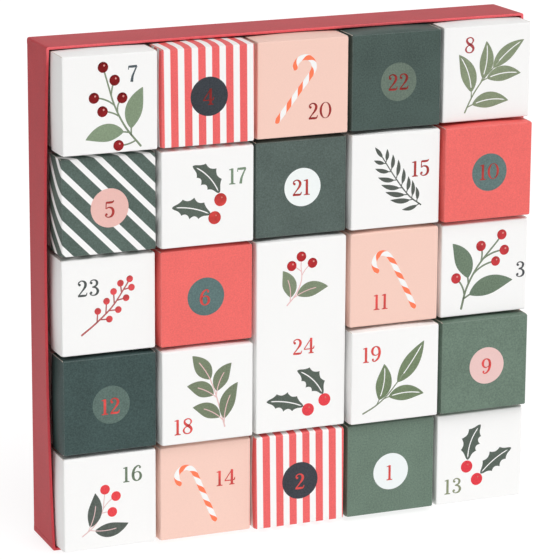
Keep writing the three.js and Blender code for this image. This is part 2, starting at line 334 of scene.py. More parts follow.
# The camera was solved from the corners of the boxes and of the tray: its place in metres, the ways
# that are forward and right in its picture, and its lens in millimetres on a sensor 36 mm wide.
CAMERA_PLACE = (-0.8778, -2.0941, 0.7900)
CAMERA_FORWARD = (0.3736982, 0.8900531, -0.2610655)
CAMERA_RIGHT = (0.9226477, -0.3855958, 0.0060945)
CAMERA_LENS, CAMERA_SENSOR = 209.04, 36

# The softbox: the way its light goes, its strength, and how wide it looks from the calendar.
LIGHT_WAY = (-0.13, 0.52, -0.86)
LIGHT_STRENGTH = 1.92
LIGHT_WIDTH = math.radians(40)

# How far the floor reaches, in metres, and where it glows least.
FLOOR_RADIUS = 4.0
FLOOR_DIM = (-1.3, 1.2, 0.0)


# Settings in the sidebar.


def distance(name, description, default, least=0.0):
    """A length for the sidebar, from its default and its least value in millimetres."""
    return FloatProperty(
        name=name, description=description, default=default * MM, min=least * MM,
        subtype="DISTANCE", unit="LENGTH")


class CartonSizes(bpy.types.PropertyGroup):
    """Sizes of the folded cartons. Widths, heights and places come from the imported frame."""

    lid_depth: distance("Lid depth", "From the front panel to the open edge", 24, 5)
    belly: distance("Belly", "How far a lid's side panel bellies out beyond its fold", 1.2)
    belly_crest: FloatProperty(
        name="Belly's crest", description="Where along the lid's depth the belly is fullest",
        default=0.4, min=0.1, max=0.9, subtype="FACTOR")
    belly_left: FloatProperty(
        name="Belly at the edge", description="Share of the belly that is left at the open edge",
        default=0.6, min=0, max=1, subtype="FACTOR")
    board: distance("Carton", "Thickness of the folded carton", 0.5, 0.1)
    fold: distance("Crease radius", "Radius of the creases round the closed panel", 0.9, 0.2)
    corner: distance("Corner radius", "Radius of the closed panel's corners", 1.3, 0.95)
    glue_tab: distance("Glue tab", "Width of the tabs that close the corners from inside", 12, 3)


class TraySizes(bpy.types.PropertyGroup):
    """Sizes of the wrapped tray."""

    board: distance("Greyboard", "Thickness of the walls with their paper", 2, 0.5)
    rim_round: distance("Rim rounding", "Radius of the paper round the board's edges", 0.55, 0.1)
    corner: distance("Corner radius", "Radius of the outer corners", 1.6, 0.3)
    splay: distance("Splay", "How far the walls stand out at the rim, all along", 0.85)
    top_bow: distance("Top bow", "How far the top wall's rim bows out in its middle", 0.3)
    side_bow: distance("Side bow", "How far the left and right walls' rims bow out in the middle", 3.6)
    overlap: distance("Overlap", "How far the paper laps from one wall round on to the next", 3, 1)
    turn_in: distance("Turn-in", "How far the paper is turned in over the back", 14, 2)


class PrintSizes(bpy.types.PropertyGroup):
    """Sizes of what is printed on the lids."""

    number_height: distance("Number height", "Height of the numbers' digits", 11.6, 3)
    disc: distance("Disc", "Diameter of the discs behind the numbers", 27.7, 5)
    cane: distance("Candy cane", "Width of a candy cane's stick", 4.0, 1)
    holly_berry: distance("Holly berry", "Diameter of a holly berry", 9.4, 1)


def linear(code):
    """Turns an sRGB hex colour into linear light, by the sRGB curve."""
    shares = np.array([int(code[i:i + 2], 16) for i in (1, 3, 5)]) / 255
    light = np.where(shares <= 0.04045, shares / 12.92, ((shares + 0.055) / 1.055) ** 2.4)
    return (*light.tolist(), 1.0)


def swatch(name, description, code):
    """A colour for the sidebar, from its sRGB hex value."""
    return FloatVectorProperty(
        name=name, description=description, default=linear(code), size=4, min=0, max=1,
        subtype="COLOR")


class PaperColours(bpy.types.PropertyGroup):
    """Colours of the papers and foils that more than one piece has."""

    wrap: swatch("Wrapping paper", "Red paper round the tray", "#bc343c")
    inside: swatch("Carton inside", "Uncoated side of the carton", "#dfdad2")
    base: swatch("Base carton", "Outside of the bases", "#efece7")
    raw_edge: swatch("Cut edge", "Cut edge of the carton", "#cfc7bb")
    foil: swatch("Red foil", "Hot-stamped foil of the numbers and berries", "#d85350")
    cane_red: swatch("Cane stripes", "Stripes of the candy canes", "#fe8059")
    paper_white: swatch("White stripes", "White of the stripes and canes", "#f7f7f6")


# Meshes.


def make_mesh(name, sheets, materials):
    """Joins sheets into one closed mesh. A sheet is (points, uv, material): rows by columns of points,
    where each four neighbours make a face. Points less than a micron apart become one, which closes
    the seams and the poles, and then the faces are turned outwards."""
    points, corners, uvs, numbers = [], [], [], []
    start = 0
    for grid, uv, number in sheets:
        rows, columns = grid.shape[:2]
        index = np.arange(rows * columns).reshape(rows, columns)
        faces = np.stack([index[:-1, :-1], index[1:, :-1], index[1:, 1:], index[:-1, 1:]], axis=-1)
        faces = faces.reshape(-1, 4)
        points.append(grid.reshape(-1, 3))
        corners.append(faces + start)
        uvs.append(uv.reshape(-1, 2)[faces.ravel()])
        numbers.append(np.full(len(faces), number))
        start += rows * columns
    corners = np.concatenate(corners)
    mesh = bpy.data.meshes.new(name)
    mesh.vertices.add(start)
    mesh.vertices.foreach_set("co", np.concatenate(points).astype(np.float32).ravel())
    mesh.loops.add(corners.size)
    mesh.loops.foreach_set("vertex_index", corners.ravel().astype(np.int32))
    mesh.polygons.add(len(corners))
    mesh.polygons.foreach_set("loop_start", np.arange(0, corners.size, 4, dtype=np.int32))
    mesh.polygons.foreach_set("material_index", np.concatenate(numbers).astype(np.int32))
    layer = mesh.uv_layers.new(name="blank")
    layer.data.foreach_set("uv", np.concatenate(uvs).astype(np.float32).ravel())
    mesh.update(calc_edges=True)
    shell = bmesh.new()
    shell.from_mesh(mesh)
    bmesh.ops.remove_doubles(shell, verts=shell.verts, dist=1e-6)
    bmesh.ops.dissolve_degenerate(shell, edges=shell.edges, dist=1e-7)
    bmesh.ops.recalc_face_normals(shell, faces=shell.faces)
    shell.to_mesh(mesh)
    shell.free()
    mesh.shade_smooth()
    mesh.set_sharp_from_angle(angle=math.radians(38))
    for material in materials:
        mesh.materials.append(material)
    return mesh


def make_piece(name, sheets, materials, body, nodes=()):
    """Adds a piece at the origin, with its place in its mesh, and says what it rides on."""
    piece = bpy.data.objects.new(name, make_mesh(name, sheets, materials))
    bpy.context.scene.collection.objects.link(piece)
    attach(piece, body)
    if nodes:
        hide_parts(*nodes)
    return piece


def no_uv(grid):
    """A blank UV for a sheet whose material doesn't read one."""
    return np.zeros((*grid.shape[:2], 2))


# Folded cartons.

TOP_SHARES = np.array([0, 0.22, 0.44, 0.64, 0.8, 0.91, 0.97])
SIDE_SHARES = np.array([0.75, 0.5, 0.25, 0])
CORNER_STEPS = 7
# A corner behind the crease, in millimetres from where the two panels' planes meet: the top panel
# turns down inside, and the side panel's cut edge stands beside it.
OPEN_CORNER = np.array([
    (-1.3, 0), (-0.7, 0), (-0.57, -0.16), (-0.5, -0.03), (-0.09, 0), (0, -0.09), (0, -1.3)]) * MM
# The points of a quarter: where the top panel ends, where the side panel begins, and how many it has.
TOP_END = len(TOP_SHARES) + 2
SIDE_START = len(TOP_SHARES) + 5
QUARTER = len(TOP_SHARES) + CORNER_STEPS + 3 + len(SIDE_SHARES)


def carton_rings(wide, tall, radius, belly, opened, stand, tab):
    """Outlines of a carton at a row of depths, clockwise from the middle of the top panel. wide and
    tall are half sizes. A quarter runs along the top panel, round the corner and down the side panel,
    and is mirrored into the other three. A panel bellies out by belly x (1 - square of the share of
    the way from its middle to its corner). The inside's glue tabs stand in by stand over tab."""
    wide, tall, radius, belly, opened, stand, tab = (
        a[:, None] for a in np.broadcast_arrays(*(np.atleast_1d(np.asarray(v, float)) for v in (
            wide, tall, radius, belly, opened, stand, tab))))
    angle = np.linspace(0, math.pi / 2, CORNER_STEPS)
    closed_x, closed_z = radius * (np.sin(angle) - 1), radius * (np.cos(angle) - 1)
    corner_x = wide - stand + closed_x + opened * (OPEN_CORNER[:, 0] - closed_x)
    corner_z = tall + closed_z + opened * (OPEN_CORNER[:, 1] - closed_z)
    top_x = TOP_SHARES * (wide - stand - radius)
    slant = 0.3 * MM
    x = np.hstack([top_x, corner_x, wide - stand, wide - stand, wide, wide + 0 * SIDE_SHARES])
    z = np.hstack([
        tall + 0 * top_x, corner_z, tall - (radius + tab) / 2, tall - tab + slant, tall - tab,
        (tall - tab) * SIDE_SHARES])
    bulge_x = 1 + belly / wide * np.clip(1 - (z / tall) ** 2, 0, 1)
    bulge_z = 1 + belly / tall * np.clip(1 - (x / wide) ** 2, 0, 1)
    x, z = x * bulge_x, z * bulge_z
    xs = np.hstack([x, x[:, -2::-1], -x[:, 1:], -x[:, -2::-1]])
    zs = np.hstack([z, -z[:, -2::-1], -z[:, 1:], z[:, -2::-1]])
    return np.stack([xs, zs], axis=-1)


def carton_sheets(low, high, depth, closed_at, sizes, belly=None):
    """A carton's closed panel, its four side panels and its inside, between two corners. closed_at is
    -1 where the closed panel is in front and 1 where it is at the back, and belly gives the side
    panels' belly at a depth. Materials: 0 outside, 1 cut edge, 2 inside."""
    fold, board = sizes.fold, sizes.board
    belly = belly or (lambda at: 0 * at)
    widest = float(np.max(belly(np.linspace(0, depth, 200))))
    wide, tall = (high.x - low.x) / 2 - widest, (high.z - low.z) / 2 - widest
    middle = (low + high) / 2
    closed_y = low.y if closed_at < 0 else high.y
    last = 4 * QUARTER - 4
    brim = depth - 0.1 * MM

    def place(rings, at):
        at = np.broadcast_to(np.asarray(at, float)[:, None], rings.shape[:2])
        return np.stack([
            middle.x + rings[..., 0], closed_y - closed_at * at, middle.z + rings[..., 1]], axis=-1)

    # Outside: the crease is a quarter circle, and behind it the panel runs back to its cut edge. run is
    # the way along the carton from the crease's corner, so that a print goes on round the crease.
    angle = np.linspace(0, math.pi / 2, 6)
    back = np.array([1.3, 1.9, 2.6, 4, 6.5]) * MM
    back = np.concatenate([back, np.linspace(9.6 * MM, brim, 6)])
    at = np.concatenate([fold * (1 - np.cos(angle)), back])
    inset = np.concatenate([fold * (1 - np.sin(angle)), 0 * back])
    run = np.concatenate([fold * (angle - 1), back + fold * (math.pi / 2 - 2)])
    opened = np.clip((at - fold) / (1.3 * MM), 0, 1)
    outside = carton_rings(
        wide - inset, tall - inset, sizes.corner - inset, belly(at), opened, 0, sizes.glue_tab)
    points = place(outside, at)

    def panel(first, end, uv, number=0, rows=slice(None)):
        grid = points[rows, first:end + 1]
        flat = outside[rows, first:end + 1]
        reach = np.broadcast_to(run[rows, None], flat.shape[:2])
        return grid, np.stack(uv(flat[..., 0], flat[..., 1], reach), axis=-1), number

    def upper(x, z, reach):
        return x, tall + reach

    def lower(x, z, reach):
        return x, -tall - reach

    def right(x, z, reach):
        return wide + reach, z

    def left(x, z, reach):
        return -wide - reach, z

    half = last // 2
    sheets = [
        panel(0, TOP_END, upper), panel(last - TOP_END, last, upper),
        panel(SIDE_START, half - SIDE_START, right), panel(half - TOP_END, half + TOP_END, lower),
        panel(half + SIDE_START, last - SIDE_START, left),
    ]
    closed_rows, open_rows = slice(0, len(angle) + 1), slice(len(angle), None)
    for first, end, uv in (
            (TOP_END, SIDE_START, right), (half - SIDE_START, half - TOP_END, right),
            (half + TOP_END, half + SIDE_START, left), (last - SIDE_START, last - TOP_END, left)):
        sheets.append(panel(first, end, uv, 0, closed_rows))
        sheets.append(panel(first, end, uv, 1, open_rows))

    # The closed panel's face, as outlines that shrink to its middle.
    shrink = np.array([1, 0.985, 0.7, 0.35, 0])[:, None, None]
    face = outside[0] * shrink
    sheets.append((place(face, np.zeros(len(shrink))), face, 0))

    # The cut edge of the open end, which the brim's rounded lips lead up to.
    lip = 0.08 * MM
    inward = np.array([0, lip, board - lip, board])
    edge_at = np.array([brim, depth, depth, brim])
    edge = carton_rings(
        wide - inward, tall - inward, sizes.corner, belly(depth), 1 - inward / board, 0, sizes.glue_tab)
    edge_points = place(edge, edge_at)
    edge_points[0] = points[-1]
    sheets.append((edge_points, no_uv(edge_points), 1))

    # Inside, from the open end to the closed panel, with the tabs standing in on the two sides.
    inner_at = np.array([
        brim, depth - 0.9 * MM, depth - 1.2 * MM, 0.75 * depth, 0.4 * depth, 0.2 * depth, 3 * MM,
        1.2 * MM, board])
    stand = np.where(inner_at > depth - 1 * MM, 0, board)
    tab_end = 10 * MM
    tab = np.interp(inner_at, [0, 0.4 * depth, depth], [tab_end, sizes.glue_tab, tab_end])
    inner = carton_rings(wide - board, tall - board, sizes.corner, belly(inner_at), 0, stand, tab)
    inner_points = place(inner, inner_at)
    inner_points[0] = edge_points[-1]
    sheets.append((inner_points, no_uv(inner_points), 2))
    floor = place(inner[-1] * shrink, np.full(len(shrink), board))
    floor[0] = inner_points[-1]
    sheets.append((floor, no_uv(floor), 2))
    return sheets


# The tray.

RIM_SHARES = np.array([0, 0.12, 0.25, 0.38, 0.5, 0.62, 0.73, 0.83, 0.91, 0.97])


def tray_outlines(offset, y, shrink=1.0):
    """Outlines round the tray at a row of offsets outwards from the walls' inner faces and of depths y,
    clockwise from the middle of the top wall. The paper laps by overlap on to the side walls, where
    it stands a paper's thickness proud. Towards the rim the walls splay, and they bow out by
    bow x (1 - square of the share of the way from the middle to the corner)."""
    sizes = bpy.context.scene.tray_sizes
    low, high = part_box("tray_back_board")
    half_x, half_z = (high.x - low.x) / 2, (high.z - low.z) / 2
    rim_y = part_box("tray_wall_top")[0].y
    offset, y, shrink = (np.atleast_1d(np.asarray(v, float))[:, None] for v in (offset, y, shrink))
    radius = np.clip(sizes.corner - sizes.board + offset, 0.25 * MM, sizes.corner)
    wide, tall = half_x + offset, half_z + offset
    angle = np.linspace(0, math.pi / 2, 7)
    lap = np.array([0.5, 0.98]) * sizes.overlap
    paper = 0.13 * MM * np.clip(offset / sizes.board, 0, 1)
    x = np.hstack([
        RIM_SHARES * (wide - radius), wide + radius * (np.sin(angle) - 1) + paper * np.sin(angle),
        wide + paper + 0 * lap, wide, wide + 0 * RIM_SHARES])
    z = np.hstack([
        tall + 0 * RIM_SHARES, tall + radius * (np.cos(angle) - 1), tall - radius - lap,
        tall - radius - sizes.overlap, (tall - radius - sizes.overlap) * RIM_SHARES[::-1]])
    x = np.hstack([x, x[:, -2::-1], -x[:, 1:], -x[:, -2::-1]])
    z = np.hstack([z, -z[:, -2::-1], -z[:, 1:], z[:, -2::-1]])
    forward = np.clip((low.y - y) / (low.y - rim_y), 0, 1)
    across, up = np.clip(x / half_x, -1, 1), np.clip(z / half_z, -1, 1)
    push_x = sizes.side_bow * (1 - up ** 2) * np.sign(x) + sizes.splay * x / half_x
    push_z = sizes.top_bow * (1 - across ** 2) * (z > 0)
    push_z = push_z + sizes.splay * np.clip((z + half_z) / (2 * half_z), 0, None)
    middle = (low.z + high.z) / 2
    x, z = (x + forward * push_x) * shrink, (z + forward * push_z) * shrink
    return np.stack([x, np.broadcast_to(y, x.shape), middle + z], axis=-1)


def wrap_sheets():
    """The four wrapped walls as one ring: the section of a wall, with both its edges rounded and the
    paper turned in over the back, carried round the tray."""
    sizes = bpy.context.scene.tray_sizes
    board, edge, turn_in = sizes.board, sizes.rim_round, sizes.turn_in
    rim_y, back_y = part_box("tray_wall_top")[0].y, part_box("tray_wall_top")[1].y
    floor_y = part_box("tray_back_board")[0].y
    angle = np.linspace(0, math.pi / 2, 5)
    run = np.linspace(rim_y + 2 * edge, floor_y, 7)
    flap = 0.14 * MM
    section = np.array(
        [(0, y) for y in run[::-1]]
        + [(edge * (1 - math.cos(a)), rim_y + edge * (1 - math.sin(a))) for a in angle]
        + [(board - edge * (1 - math.sin(a)), rim_y + edge * (1 - math.cos(a))) for a in angle]
        + [(board, y) for y in run]
        + [(board - edge * (1 - math.cos(a)), back_y - edge * (1 - math.sin(a))) for a in angle]
        + [(-0.5 * turn_in, back_y), (-turn_in, back_y), (-turn_in - flap / 2, back_y - flap / 3),
           (-turn_in - flap / 2, back_y - flap), (0, back_y - flap), (0, floor_y)])
    grid = tray_outlines(section[:, 0], section[:, 1])
    return [(grid, no_uv(grid), 0)]


def board_sheets(front_y, back_y, margin, edge):
    """A flat board or sheet inside the tray's outline, with rounded edges, closed at its middle."""
    offset = -margin - edge * np.array([1, 1, 0, 0, 1, 1])
    y = np.array([front_y, front_y, front_y + edge, back_y - edge, back_y, back_y])
    shrink = np.array([0, 1, 1, 1, 1, 0])
    grid = tray_outlines(offset, y, shrink)
    return [(grid, no_uv(grid), 0)]


# Prints, in millimetres over a front.


def smooth(points, count=40):
    """A curve through the points: between two of them it is the cubic that passes each with half the
    step between that point's neighbours as its slope."""
    p = np.asarray(points, float)
    p = np.vstack([2 * p[0] - p[1], p, 2 * p[-1] - p[-2]])
    share = np.linspace(0, len(p) - 3 - 1e-9, count)
    i = share.astype(int)
    t = (share - i)[:, None]
    a, b, c, d = p[i], p[i + 1], p[i + 2], p[i + 3]
    return 0.5 * (2 * b + (c - a) * t + (2 * a - 5 * b + 4 * c - d) * t ** 2
                  + (3 * b - a - 3 * c + d) * t ** 3)


def sideways(path):
    """Unit vectors to the left of a path, square to the slope between its neighbouring points."""
    slope = np.gradient(path, axis=0)
    slope /= np.linalg.norm(slope, axis=1, keepdims=True)
    return np.stack([-slope[:, 1], slope[:, 0]], axis=-1)


def plate(left, right, top, number=0):
    """A printed shape between two edge lines as a closed plate. Its section runs from foot to foot
    over both edges, and its two ends are drawn together into a point in the carton. The UV is the
    way along the middle and the distance across from it to the right, in metres."""
    across = right - left
    width = np.linalg.norm(across, axis=1)
    lip = np.clip(BEVEL / np.maximum(width, 1e-6), 0, 0.3)
    none, whole = np.zeros_like(lip), np.ones_like(lip)
    share = np.stack([none, none, lip, 0.5 * whole, whole - lip, whole, whole, none])
    height = np.array([FOOT, 0.5 * top, top, top, top, 0.5 * top, FOOT, FOOT])
    middle = (left + right) / 2
    flat = left + across * share[..., None]
    flat = np.concatenate([0 * flat[:, :1] + middle[:1], flat, 0 * flat[:, :1] + middle[-1:]], axis=1)
    tall = np.repeat(height[:, None], flat.shape[1], axis=1)
    tall[:, [0, -1]] = FOOT
    step = np.linalg.norm(np.diff(middle, axis=0), axis=1)
    along = np.concatenate([[0], np.cumsum(step)])
    along = np.concatenate([along[:1], along, along[-1:]])
    reach = (share - 0.5) * width
    reach = np.concatenate([0 * reach[:, :1], reach, 0 * reach[:, :1]], axis=1)
    uv = np.stack([np.broadcast_to(along, reach.shape), reach], axis=-1) * MM
    return np.dstack([flat, tall]), uv, number


def ribbon(path, top, number=0, round_ends=False):
    """A stroke along a path of (x, y, width) points. A round end follows a circle as wide as it."""
    if round_ends:
        turn = np.radians([85, 60, 35, 12])[:, None]
        for end, near, order in ((0, 1, slice(None)), (-1, -2, slice(None, None, -1))):
            heading = path[end, :2] - path[near, :2]
            heading /= np.linalg.norm(heading)
            radius = path[end, 2] / 2
            reach = path[end, :2] + heading * radius * np.sin(turn)
            cap = np.hstack([reach, 2 * radius * np.cos(turn)])
            parts = [cap[order], path] if end == 0 else [path, cap[order]]
            path = np.vstack(parts)
    left = sideways(path[:, :2]) * path[:, 2:] / 2
    return plate(path[:, :2] + left, path[:, :2] - left, top, number)


def disc(x, z, radius, top, number=0, dome=0.0, steps=56):
    """A round plate or, with dome, a drop whose height over the plate is dome x the square root of
    1 - the square of the share of the radius."""
    share = np.array([0, 0.35, 0.62, 0.82, 0.93, 0.985, 1, 1, 0])
    height = top + dome * np.sqrt(np.clip(1 - share ** 2, 0, 1))
    height[6:] = [0.5 * top, FOOT, FOOT]
    angle = np.linspace(0, 2 * math.pi, steps + 1)
    flat_x = x + radius * share[:, None] * np.cos(angle)
    flat_z = z + radius * share[:, None] * np.sin(angle)
    grid = np.stack([flat_x, flat_z, np.broadcast_to(height[:, None], flat_x.shape)], axis=-1)
    return grid, grid[..., :2] * MM, number


def arc_between(foot, tip, bend, count):
    """A parabola from foot to tip that passes its chord's middle at bend to the left."""
    foot, tip = np.asarray(foot, float), np.asarray(tip, float)
    chord = tip - foot
    left = np.array([-chord[1], chord[0]]) / np.linalg.norm(chord)
    t = np.linspace(0, 1, count)[:, None]
    return foot + chord * t + left * (4 * bend * t * (1 - t))


def leaf_sheets(foot, tip, width, bend, top, gap=0.0, spines=0):
    """A leaf on a bent midline. Its half width is a sine of the way along, raised to a power that
    makes both ends pointed. With spines, the edge sags between one spine and the next by a sine
    with a cusp at each. A gap leaves the midrib bare, so that the leaf is two halves."""
    count = 12 * (spines + 1) + 1 if spines else 33
    middle = arc_between(foot, tip, bend, count)
    left = sideways(middle)
    t = np.linspace(0, 1, count)
    if spines:
        half = 0.54 * width * np.sin(math.pi * t ** 0.95) ** 0.8
        half *= 1 - 0.33 * np.abs(np.sin((spines + 1) * math.pi * t)) ** 0.8
    else:
        half = 0.5 * width * np.sin(math.pi * t ** 0.85) ** 0.9
    bare = 0.5 * gap * np.clip(np.minimum(t - 0.05, 0.9 - t) / 0.05, 0, 1)
    bare = np.minimum(bare, 0.8 * half)
    half, bare = half[:, None], bare[:, None]
    if gap:
        return [plate(middle + left * half, middle + left * bare, top),
                plate(middle - left * bare, middle - left * half, top)]
    return [plate(middle + left * half, middle - left * half, top)]


def digit_sheets(text, x, z, height):
    """A number's digits, centred on a place: strokes as ribbons, bowls as rings and ends as balls."""
    shapes = [DIGITS[TURNED_DIGITS.get(letter, letter)] for letter in text]
    start = -0.5 * (sum(shape["wide"] for shape in shapes) + DIGIT_SPACE * (len(text) - 1))
    sheets = []
    for letter, shape in zip(text, shapes):
        wide = shape["wide"]
        scale = (-1 if letter in TURNED_DIGITS else 1) * height * np.array([wide / shape["drawn"], 1])
        centre = np.array([x + (start + wide / 2) * height, z])
        origin = centre - scale * np.array([shape["drawn"] / 2, 0.5])
        layer = LAYER["number"]
        for stroke in shape.get("strokes", []):
            path = np.array(stroke) if len(stroke) == 2 else smooth(stroke, 6 * len(stroke))
            path = (path + [0, 0, STAMPED]) * [*scale, height] + [*origin, 0]
            sheets.append(ribbon(path, layer))
            layer += STROKE_STEP
        for ball_x, ball_y, radius in shape.get("balls", []):
            at = origin + scale * np.array([ball_x, ball_y])
            sheets.append(disc(*at, radius * height, layer, steps=24))
        for bowl_x, bowl_y, out_x, out_y, in_x, in_y in shape.get("bowls", []):
            angle = np.linspace(0, 2 * math.pi, 49)
            turn = np.stack([np.cos(angle), np.sin(angle)], axis=-1) * scale
            at = origin + scale * np.array([bowl_x, bowl_y])
            sheets.append(plate(at + turn * [in_x, in_y], at + turn * [out_x, out_y], layer))
        start += wide + DIGIT_SPACE
    return sheets


def sprig_sheets(sprig):
    """A sprig's stem, twigs, leaves and berries. Materials: 0 leaf, 1 stem, 2 berry, 3 berry's spot."""
    stem = smooth(sprig["stem"], 40)
    thick, vein = sprig["thick"], sprig.get("vein")
    width = np.linspace(1.15, 0.85, len(stem))[:, None] * thick
    sheets = [ribbon(np.hstack([stem, width]), LAYER["stem"], 1, round_ends=True)]
    for number, (share, turn, length, ends_in, size, bend) in enumerate(sprig["twigs"]):
        at = min(int(share * (len(stem) - 1)), len(stem) - 2)
        foot = stem[at] + (stem[at + 1] - stem[at]) * (share * (len(stem) - 1) - at)
        heading = math.atan2(*(stem[at + 1] - stem[at])[::-1]) + math.radians(turn)
        tip = foot + length * np.array([math.cos(heading), math.sin(heading)])
        twig = arc_between(foot, tip, bend, 25)
        shift = TWIG_STEP * number
        if ends_in == "leaf":
            stalk, top = (twig[:17], LAYER["vein"]) if vein == "line" else (twig[:6], LAYER["stem"])
            blade = twig[3] if share < 1 else twig[0]
            gap = 0.75 if vein == "gap" else 0.0
            sheets += leaf_sheets(blade, tip, size, bend * 0.8, LAYER["leaf"] + shift, gap)
        else:
            stalk, top = twig, LAYER["stem"]
            dome = 0.0 if sprig["berry"] == "flat" else DOME
            sheets.append(disc(*tip, size / 2, LAYER["vein"] + shift, 2, dome))
            if sprig["berry"] in ("foil", "bright"):
                spot = tip + size * np.array([0.1, 0.16])
                over = LAYER["vein"] + dome + LAYER["spot"]
                sheets.append(disc(*spot, 0.09 * size, over, 3, steps=16))
        line = np.hstack([stalk, np.full((len(stalk), 1), 0.85 * thick)])
        sheets.append(ribbon(line, top + shift, 1, round_ends=True))
    return sheets


def print_piece(kind, day, sheets, materials):
    """Adds a print over a lid's front, where the lid's box in the frame puts it."""
    low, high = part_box(f"lid_{day:02d}")
    middle = (low + high) / 2
    placed = []
    for grid, uv, number in sheets:
        points = np.stack([
            middle.x + grid[..., 0] * MM, low.y + (SET_BACK - grid[..., 2]) * MM,
            middle.z + grid[..., 1] * MM], axis=-1)
        placed.append((points, uv, number))
    return make_piece(f"{kind}_{day:02d}", placed, materials, f"lid_{day:02d}")


# Materials.


def add_node(tree, kind, inputs=None, **settings):
    """Adds a shader node with its settings, and sets or links its inputs by name or number. A node
    given as an input is linked by its first output."""
    made = tree.nodes.new(kind)
    for key, value in settings.items():
        setattr(made, key, value)
    for key, value in (inputs or {}).items():
        if isinstance(value, bpy.types.Node):
            value = value.outputs[0]
        if isinstance(value, bpy.types.NodeSocket):
            tree.links.new(value, made.inputs[key])
        else:
            made.inputs[key].default_value = value
    return made


def new_material(name, **constants):
    """An empty material with its shader's constants set, and its Object coordinates."""
    material = bpy.data.materials.new(name)
    material.use_nodes = True
    tree = material.node_tree
    shader = tree.nodes["Principled BSDF"]
    for key, value in constants.items():
        shader.inputs[key.replace("_", " ")].default_value = value
    place = add_node(tree, "ShaderNodeTexCoord").outputs["Object"]
    return material, tree, shader, place


def mottle(tree, place, colour, grain, amount):
    """Lets a colour or a colour's socket vary by up to an amount: fine grain of a size in metres, and
    slow clouds of 24 mm at a third of its strength."""
    fine = add_node(tree, "ShaderNodeTexNoise", {
        "Vector": place, "W": 0.0, "Scale": 1 / grain, "Detail": 2.0}, noise_dimensions="4D")
    slow = add_node(tree, "ShaderNodeTexNoise", {
        "Vector": place, "W": 3.0, "Scale": 1 / (24 * MM), "Detail": 1.0}, noise_dimensions="4D")
    both = add_node(tree, "ShaderNodeMath", {0: slow, 1: 0.35, 2: fine}, operation="MULTIPLY_ADD")
    level = add_node(tree, "ShaderNodeMapRange", {
        "Value": both, "From Min": 0.35, "From Max": 1.0, "To Min": 1 - amount, "To Max": 1 + amount})
    return add_node(tree, "ShaderNodeMix", {
        0: 1.0, 6: colour, 7: level}, data_type="RGBA", blend_type="MULTIPLY").outputs[2]


def grain_of(colour):
    """How strongly an ink's mottle shows, most in a dark ink: 0.01 + half the cube of 1 - its mean."""
    return 0.01 + 0.5 * (1 - sum(colour[:3]) / 3) ** 3


def relief(tree, shader, place, size, height, strength):
    """Bumps of a size and a height in metres on a shader's surface."""
    noise = add_node(tree, "ShaderNodeTexNoise", {"Vector": place, "Scale": 1 / size, "Detail": 3.0})
    bump = add_node(tree, "ShaderNodeBump", {"Strength": strength, "Distance": height, "Height": noise})
    tree.links.new(bump.outputs["Normal"], shader.inputs["Normal"])


def stripe_share(tree, along, period, band):
    """1 inside the bands round each whole number of periods and 0 between them, from a distance in
    metres: a triangle wave cut off at half the band's width, with an edge that is a little soft."""
    edge = 0.12 * MM
    turns = add_node(tree, "ShaderNodeMath", {0: along, 1: period}, operation="DIVIDE")
    wave = add_node(tree, "ShaderNodeMath", {0: turns, 1: 0.5}, operation="PINGPONG")
    half = band / period / 2
    return add_node(tree, "ShaderNodeMapRange", {
        "Value": wave, "From Min": half - edge / period, "From Max": half + edge / period,
        "To Min": 1.0, "To Max": 0.0}).outputs[0]


def mix_colours(tree, share, first, second):
    """The first colour where the share is 0, and the second where it is 1."""
    return add_node(tree, "ShaderNodeMix", {0: share, 6: first, 7: second}, data_type="RGBA").outputs[2]


# The mottle of the inks and of the wrapping paper. The real screen and felt are a few tenths of a
# millimetre, and it is drawn coarser so that it shows from where the calendar is seen.
GRAIN = 1.1 * MM
# Size, height and strength of the fine tooth that shows through the varnish and the inks.
CARTON_TOOTH = (0.5 * MM, 0.012 * MM, 0.5)


def printed_carton(paper):
    """Folding boxboard, clay coated, offset printed and sealed with matt varnish: an even, soft
    surface with a faint grain in the ink, which cracks a little paler along the creases."""
    material, tree, shader, place = new_material(
        f"carton_{paper}", Roughness=0.5, Specular_IOR_Level=0.2)
    white = tuple(bpy.context.scene.paper_colours.paper_white)
    printed = linear(LID_INKS[paper])
    blank = add_node(tree, "ShaderNodeUVMap", uv_map="blank").outputs["UV"]
    parts = add_node(tree, "ShaderNodeSeparateXYZ", {0: blank})
    u, v = parts.outputs["X"], parts.outputs["Y"]
    colour = mottle(tree, place, printed, GRAIN, grain_of(printed))
    if paper in STRIPES:
        period, band, middle, lean = STRIPES[paper]
        along = add_node(tree, "ShaderNodeMath", {0: v, 1: lean, 2: u}, operation="MULTIPLY_ADD")
        shifted = add_node(tree, "ShaderNodeMath", {0: along, 1: middle * MM}, operation="SUBTRACT")
        share = stripe_share(tree, shifted, period * MM, band * MM)
        colour = mix_colours(tree, share, colour, white)
    # A front is 69 mm across, so its creases are 34.5 mm from the middle. The double front is white,
    # and the wear drawn across it doesn't show.
    beside = add_node(tree, "ShaderNodeMath", {0: u}, operation="ABSOLUTE")
    above = add_node(tree, "ShaderNodeMath", {0: v}, operation="ABSOLUTE")
    far = add_node(tree, "ShaderNodeMath", {0: beside, 1: above}, operation="MAXIMUM")
    crease = add_node(tree, "ShaderNodeMath", {0: far, 1: 34.2 * MM, 2: 0.35 * MM}, operation="COMPARE")
    rough = add_node(tree, "ShaderNodeTexNoise", {
        "Vector": place, "Scale": 1 / (0.7 * MM), "Detail": 3.0})
    worn = add_node(tree, "ShaderNodeMapRange", {
        "Value": rough, "From Min": 0.3, "From Max": 0.7, "To Min": 0.0, "To Max": 0.07})
    wear = add_node(tree, "ShaderNodeMath", {0: crease, 1: worn}, operation="MULTIPLY")
    tree.links.new(mix_colours(tree, wear, colour, white), shader.inputs["Base Color"])
    relief(tree, shader, place, *CARTON_TOOTH)
    return material


